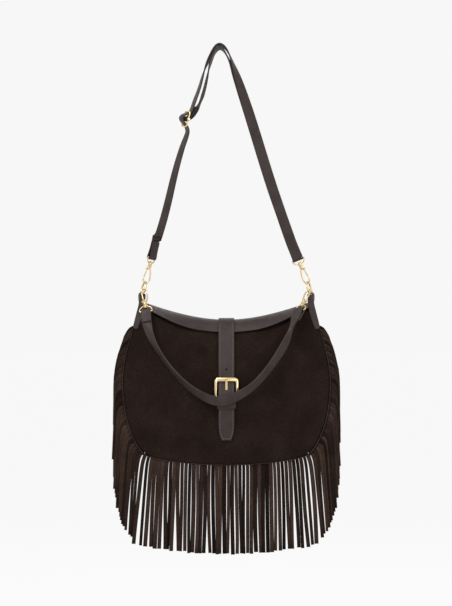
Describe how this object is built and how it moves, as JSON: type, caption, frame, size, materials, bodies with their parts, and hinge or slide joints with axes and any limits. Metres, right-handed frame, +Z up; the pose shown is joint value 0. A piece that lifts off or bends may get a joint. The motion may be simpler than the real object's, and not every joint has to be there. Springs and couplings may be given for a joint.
{
  "type": "fringed suede shoulder bag",
  "caption": "D-shaped suede shoulder bag with a fringed seam, folded leather flap, belt and buckle closing, short handle and long clip-on strap.",
  "frame": {"origin": "underside of the long strap's top bend, where a peg or a hand carries the bag", "axes": "+Z up, -Y to the front of the bag, +X to the viewer's right"},
  "size_m": [0.3648, 0.1082, 0.8141],
  "materials": {
    "gold": "polished pale gold plating",
    "suede": "dark brown napped suede",
    "fringe": "dark brown suede, cut edges",
    "leather": "smooth dark grey-brown leather, satin",
    "lining": "plain woven lining cloth"
  },
  "bodies": {
    "strap": {"long_strap": "leather", "slide_frame": "gold", "slide_bar": "gold", "strap_left_eye": "gold", "strap_right_eye": "gold"},
    "bag": {"front_panel": "suede", "back_panel": "suede", "gusset": "suede", "lining": "lining", "fringe_left": "fringe", "fringe_bottom": "fringe", "fringe_right": "fringe", "top_flap": "leather", "closing_belt": "leather", "belt_keeper": "leather", "buckle_chape": "leather", "buckle_frame": "gold", "buckle_prong": "gold", "left_ring": "gold", "right_ring": "gold", "left_corner_tab": "leather", "right_corner_tab": "leather"},
    "handle": {"handle_strap": "leather", "handle_left_eye": "gold", "handle_right_eye": "gold"},
    "strap_left_swivel": {"strap_left_hook": "gold", "strap_left_gate_pin": "gold"},
    "strap_left_latch": {"strap_left_gate": "gold"},
    "strap_right_swivel": {"strap_right_hook": "gold", "strap_right_gate_pin": "gold"},
    "strap_right_latch": {"strap_right_gate": "gold"},
    "handle_left_swivel": {"handle_left_hook": "gold", "handle_left_gate_pin": "gold"},
    "handle_left_latch": {"handle_left_gate": "gold"},
    "handle_right_swivel": {"handle_right_hook": "gold", "handle_right_gate_pin": "gold"},
    "handle_right_latch": {"handle_right_gate": "gold"}
  },
  "joints": [
    {"name": "bag_swing", "type": "hinge", "parent": "strap", "child": "bag", "pos_m": [0.0106, 0, -0.37234], "axis": [1, 0, 0], "range_deg": [-12, 12]},
    {"name": "handle_swing", "type": "hinge", "parent": "bag", "child": "handle", "pos_m": [0.0106, -0.01048, -0.38852], "axis": [-1, 0, 0], "range_deg": [0, 45]},
    {"name": "strap_left_swivel_turn", "type": "hinge", "parent": "strap", "child": "strap_left_swivel", "pos_m": [-0.11195, 0, -0.34653], "axis": [0.2419, 0, 0.9703], "range_deg": [-8, 8]},
    {"name": "strap_left_latch_press", "type": "hinge", "parent": "strap_left_swivel", "child": "strap_left_latch", "pos_m": [-0.11579, -0.00067, -0.35155], "axis": [0.2507, -0.966, -0.0625], "range_deg": [0, 16], "stiffness_Nm_per_rad": 0.02, "springref_deg": -11.46},
    {"name": "strap_right_swivel_turn", "type": "hinge", "parent": "strap", "child": "strap_right_swivel", "pos_m": [0.12949, 0, -0.34773], "axis": [-0.3795, 0, 0.9252], "range_deg": [-8, 8]},
    {"name": "strap_right_latch_press", "type": "hinge", "parent": "strap_right_swivel", "child": "strap_right_latch", "pos_m": [0.13401, -0.00067, -0.35214], "axis": [0.2387, 0.9661, 0.0979], "range_deg": [0, 16], "stiffness_Nm_per_rad": 0.02, "springref_deg": -11.46},
    {"name": "handle_left_swivel_turn", "type": "hinge", "parent": "handle", "child": "handle_left_swivel", "pos_m": [-0.11848, -0.02463, -0.40988], "axis": [0.0801, -0.5506, -0.8309], "range_deg": [-8, 8]},
    {"name": "handle_left_latch_press", "type": "hinge", "parent": "handle_left_swivel", "child": "handle_left_latch", "pos_m": [-0.12123, -0.02255, -0.40454], "axis": [-0.4676, 0.7154, -0.5191], "range_deg": [0, 16], "stiffness_Nm_per_rad": 0.02, "springref_deg": -11.46},
    {"name": "handle_right_swivel_turn", "type": "hinge", "parent": "handle", "child": "handle_right_swivel", "pos_m": [0.132, -0.02385, -0.40819], "axis": [-0.3791, -0.5202, -0.7653], "range_deg": [-8, 8]},
    {"name": "handle_right_latch_press", "type": "hinge", "parent": "handle_right_swivel", "child": "handle_right_latch", "pos_m": [0.13618, -0.0225, -0.4036], "axis": [-0.5231, -0.5617, 0.641], "range_deg": [0, 16], "stiffness_Nm_per_rad": 0.02, "springref_deg": -11.46}
  ]
}
